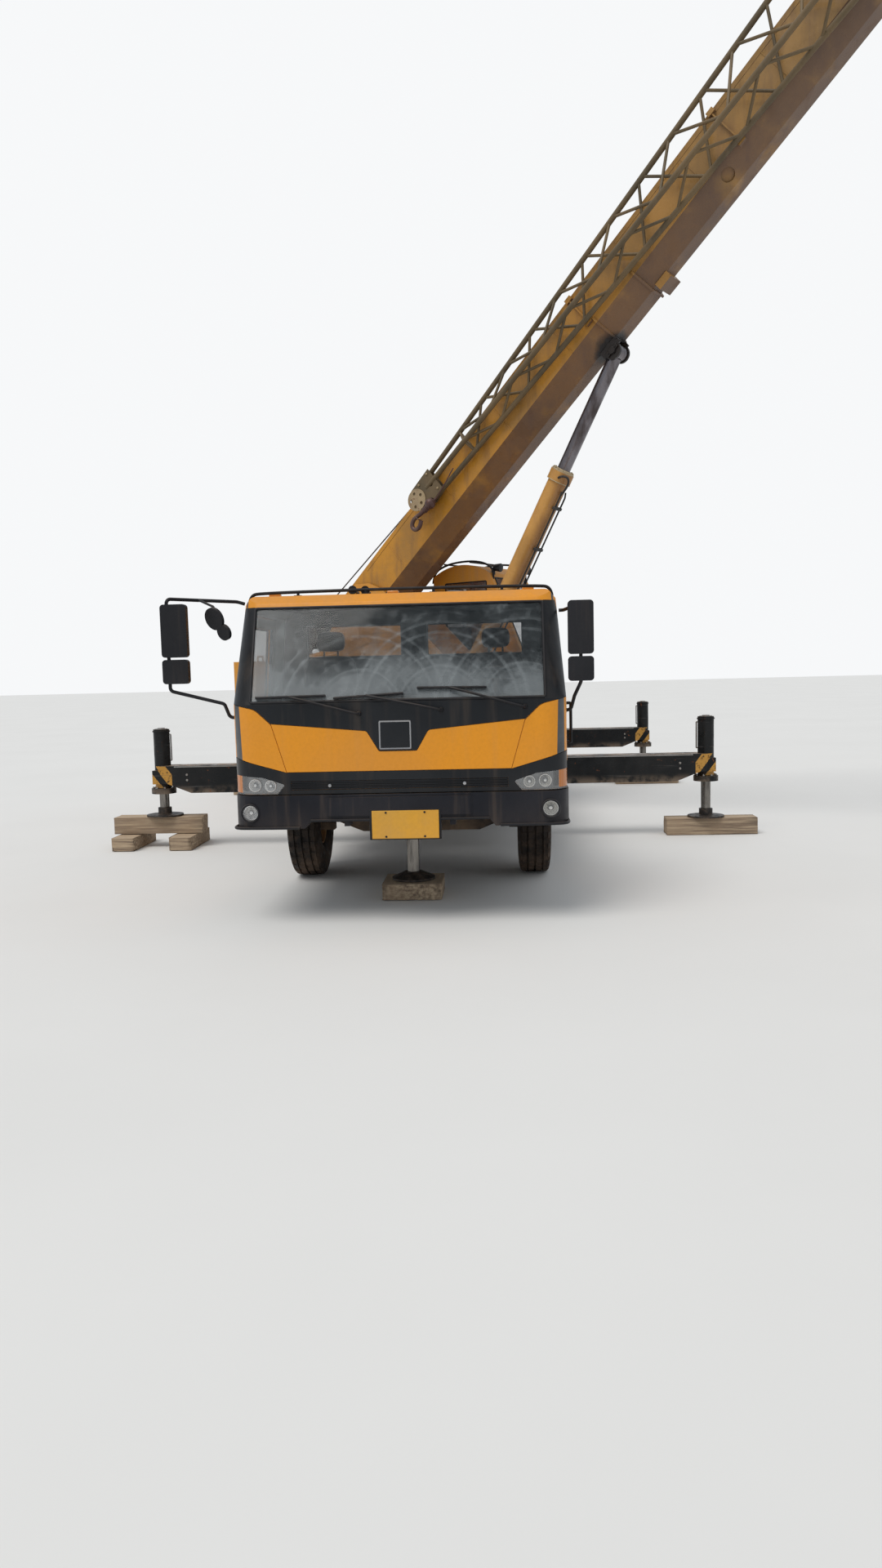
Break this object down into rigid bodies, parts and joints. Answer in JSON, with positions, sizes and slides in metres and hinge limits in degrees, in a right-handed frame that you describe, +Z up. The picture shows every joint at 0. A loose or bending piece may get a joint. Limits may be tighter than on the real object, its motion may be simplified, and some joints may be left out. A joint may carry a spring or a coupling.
{
  "type": "three-axle hydraulic truck crane",
  "caption": "Truck crane parked on slide-out outriggers, its bevelled telescopic boom raised over the side with a lattice jib stowed along it.",
  "frame": {"origin": "where the slewing axis meets the ground under the tyres", "axes": "+X to the front of the truck, +Y to its left, +Z up along the slewing axis"},
  "size_m": [10.1543, 9.578, 10.071],
  "materials": {
    "body_yellow": "glossy yellow paint, dusty",
    "boom_yellow": "yellow paint",
    "frame_grey": "dark grey paint",
    "deck_grey": "grey chequered plate",
    "tyre_black": "dusty rubber",
    "rim_paint": "yellow paint",
    "window_glass": "tinted glass",
    "inside_dark": "black plastic and cloth",
    "lamp_clear": "clear lens",
    "mirror_black": "black plastic",
    "engine_iron": "painted iron",
    "timber": "weathered sawn timber",
    "chrome_rod": "hard chrome",
    "steel_bare": "worn steel",
    "jib_grey": "worn paint"
  },
  "bodies": {
    "carrier": {"chassis_frame": "frame_grey", "deck_plates": "deck_grey", "front_axle": "frame_grey", "rear_bogie": "frame_grey", "engine_block": "engine_iron", "side_boxes": "frame_grey", "front_bumper": "body_yellow", "cab_shell": "body_yellow", "cab_front_panels": "body_yellow", "cab_front_trim": "mirror_black", "cab_glass": "window_glass", "cab_interior": "inside_dark", "lamps": "lamp_clear", "cab_mirrors": "mirror_black", "timber_pads": "timber"},
    "door_left": {"door_left": "body_yellow", "door_glass_left": "window_glass"},
    "door_right": {"door_right": "body_yellow", "door_glass_right": "window_glass"},
    "knuckle_left": {"knuckle_left": "steel_bare"},
    "knuckle_right": {"knuckle_right": "steel_bare"},
    "superstructure": {"turntable": "body_yellow", "counterweight": "body_yellow", "winches": "steel_bare", "crane_cab": "body_yellow", "crane_cab_glass": "window_glass", "crane_cab_interior": "inside_dark"},
    "crane_cab_door": {"crane_cab_door": "body_yellow"},
    "boom": {"boom_base": "boom_yellow", "jib_lattice": "jib_grey"},
    "boom_section_2": {"boom_section_2": "boom_yellow"},
    "boom_section_3": {"boom_section_3": "boom_yellow"},
    "boom_head": {"boom_head_section": "boom_yellow"},
    "luff_barrel": {"luff_barrel": "boom_yellow"},
    "luff_rod": {"luff_rod": "chrome_rod"},
    "hook_block": {"hook_block": "steel_bare"},
    "wheel_front_left": {"tyre_front_left": "tyre_black", "rim_front_left": "rim_paint"},
    "wheel_front_right": {"tyre_front_right": "tyre_black", "rim_front_right": "rim_paint"},
    "wheel_middle_left": {"tyres_middle_left": "tyre_black", "rims_middle_left": "rim_paint"},
    "wheel_middle_right": {"tyres_middle_right": "tyre_black", "rims_middle_right": "rim_paint"},
    "wheel_rear_left": {"tyres_rear_left": "tyre_black", "rims_rear_left": "rim_paint"},
    "wheel_rear_right": {"tyres_rear_right": "tyre_black", "rims_rear_right": "rim_paint"},
    "outrigger_front_left": {"outrigger_beam_front_left": "body_yellow"},
    "jack_front_left": {"jack_front_left": "chrome_rod"},
    "outrigger_front_right": {"outrigger_beam_front_right": "body_yellow"},
    "jack_front_right": {"jack_front_right": "chrome_rod"},
    "outrigger_rear_left": {"outrigger_beam_rear_left": "body_yellow"},
    "jack_rear_left": {"jack_rear_left": "chrome_rod"},
    "outrigger_rear_right": {"outrigger_beam_rear_right": "body_yellow"},
    "jack_rear_right": {"jack_rear_right": "chrome_rod"},
    "jack_front": {"jack_front": "chrome_rod"}
  },
  "joints": [
    {"name": "wheel_front_left_spin", "type": "hinge", "parent": "knuckle_left", "child": "wheel_front_left", "pos_m": [4.78, 1.037, 0.545], "axis": [0, 1, 0], "continuous": true},
    {"name": "wheel_front_right_spin", "type": "hinge", "parent": "knuckle_right", "child": "wheel_front_right", "pos_m": [4.78, -1.037, 0.545], "axis": [0, 1, 0], "continuous": true},
    {"name": "wheel_middle_left_spin", "type": "hinge", "parent": "carrier", "child": "wheel_middle_left", "pos_m": [0.45, 0.917, 0.545], "axis": [0, 1, 0], "continuous": true},
    {"name": "wheel_middle_right_spin", "type": "hinge", "parent": "carrier", "child": "wheel_middle_right", "pos_m": [0.45, -0.917, 0.545], "axis": [0, 1, 0], "continuous": true},
    {"name": "wheel_rear_left_spin", "type": "hinge", "parent": "carrier", "child": "wheel_rear_left", "pos_m": [-0.9, 0.917, 0.545], "axis": [0, 1, 0], "continuous": true},
    {"name": "wheel_rear_right_spin", "type": "hinge", "parent": "carrier", "child": "wheel_rear_right", "pos_m": [-0.9, -0.917, 0.545], "axis": [0, 1, 0], "continuous": true},
    {"name": "steer_left", "type": "hinge", "parent": "carrier", "child": "knuckle_left", "pos_m": [4.78, 0.86, 0.545], "axis": [0, 0, 1], "range_deg": [-30, 30]},
    {"name": "door_left_swing", "type": "hinge", "parent": "carrier", "child": "door_left", "pos_m": [6.426, 1.25, 1.6], "axis": [0, 0, 1], "range_deg": [-72, 0]},
    {"name": "steer_right", "type": "hinge", "parent": "carrier", "child": "knuckle_right", "pos_m": [4.78, -0.86, 0.545], "axis": [0, 0, 1], "range_deg": [-30.5, 30.5]},
    {"name": "door_right_swing", "type": "hinge", "parent": "carrier", "child": "door_right", "pos_m": [6.426, -1.25, 1.6], "axis": [0, 0, 1], "range_deg": [0, 72]},
    {"name": "outrigger_front_left_slide", "type": "slide", "parent": "carrier", "child": "outrigger_front_left", "axis": [0, -1, 0], "range_m": [0, 1.86]},
    {"name": "jack_front_left_lift", "type": "slide", "parent": "outrigger_front_left", "child": "jack_front_left", "axis": [0, 0, 1], "range_m": [0, 0.35]},
    {"name": "outrigger_front_right_slide", "type": "slide", "parent": "carrier", "child": "outrigger_front_right", "axis": [0, 1, 0], "range_m": [0, 1.86]},
    {"name": "jack_front_right_lift", "type": "slide", "parent": "outrigger_front_right", "child": "jack_front_right", "axis": [0, 0, 1], "range_m": [0, 0.2]},
    {"name": "outrigger_rear_left_slide", "type": "slide", "parent": "carrier", "child": "outrigger_rear_left", "axis": [0, -1, 0], "range_m": [0, 1.86]},
    {"name": "jack_rear_left_lift", "type": "slide", "parent": "outrigger_rear_left", "child": "jack_rear_left", "axis": [0, 0, 1], "range_m": [0, 0.35]},
    {"name": "outrigger_rear_right_slide", "type": "slide", "parent": "carrier", "child": "outrigger_rear_right", "axis": [0, 1, 0], "range_m": [0, 1.86]},
    {"name": "jack_rear_right_lift", "type": "slide", "parent": "outrigger_rear_right", "child": "jack_rear_right", "axis": [0, 0, 1], "range_m": [0, 0.2]},
    {"name": "jack_front_lift", "type": "slide", "parent": "carrier", "child": "jack_front", "axis": [0, 0, 1], "range_m": [0, 0.35]},
    {"name": "slew", "type": "hinge", "parent": "carrier", "child": "superstructure", "pos_m": [0, 0, 1.33], "axis": [0, 0, 1], "continuous": true},
    {"name": "luff", "type": "hinge", "parent": "superstructure", "child": "boom", "pos_m": [-0.5991, -0.92254, 2.93], "axis": [0.8387, -0.5446, 0], "range_deg": [-41.7, 38.3]},
    {"name": "luff_rod_pivot", "type": "hinge", "parent": "boom", "child": "luff_rod", "pos_m": [1.42473, 2.19389, 5.53895], "axis": [0.8387, -0.5446, 0], "range_deg": [-0.92, 0.88]},
    {"name": "luff_barrel_slide", "type": "slide", "parent": "luff_rod", "child": "luff_barrel", "axis": [-0.2763, -0.4254, -0.8618], "range_m": [-1.2771, 1.1738]},
    {"name": "telescope_2", "type": "slide", "parent": "boom", "child": "boom_section_2", "axis": [0.4066, 0.6262, 0.6652], "range_m": [0, 7]},
    {"name": "telescope_3", "type": "slide", "parent": "boom_section_2", "child": "boom_section_3", "axis": [0.4066, 0.6262, 0.6652], "range_m": [-0.02, 7.02]},
    {"name": "telescope_4", "type": "slide", "parent": "boom_section_3", "child": "boom_head", "axis": [0.4066, 0.6262, 0.6652], "range_m": [-0.02, 7.02]},
    {"name": "hook_hang", "type": "hinge", "parent": "boom_head", "child": "hook_block", "pos_m": [3.75696, 5.78521, 9.40645], "axis": [0.8387, -0.5446, 0], "range_deg": [-38.8, 42.2]},
    {"name": "crane_cab_door_slide", "type": "slide", "parent": "superstructure", "child": "crane_cab_door", "axis": [-0.5446, -0.8387, 0], "range_m": [0, 0.55]}
  ],
  "couplings": [
    {"joint": "steer_right", "follows": "steer_left", "ratio": 1},
    {"joint": "luff_rod_pivot", "follows": "luff", "ratio": 0.01},
    {"joint": "luff_barrel_slide", "follows": "luff", "m_per_rad": 1.741},
    {"joint": "hook_hang", "follows": "luff", "ratio": -1},
    {"joint": "telescope_3", "follows": "telescope_2", "ratio": 1},
    {"joint": "telescope_4", "follows": "telescope_2", "ratio": 1}
  ]
}
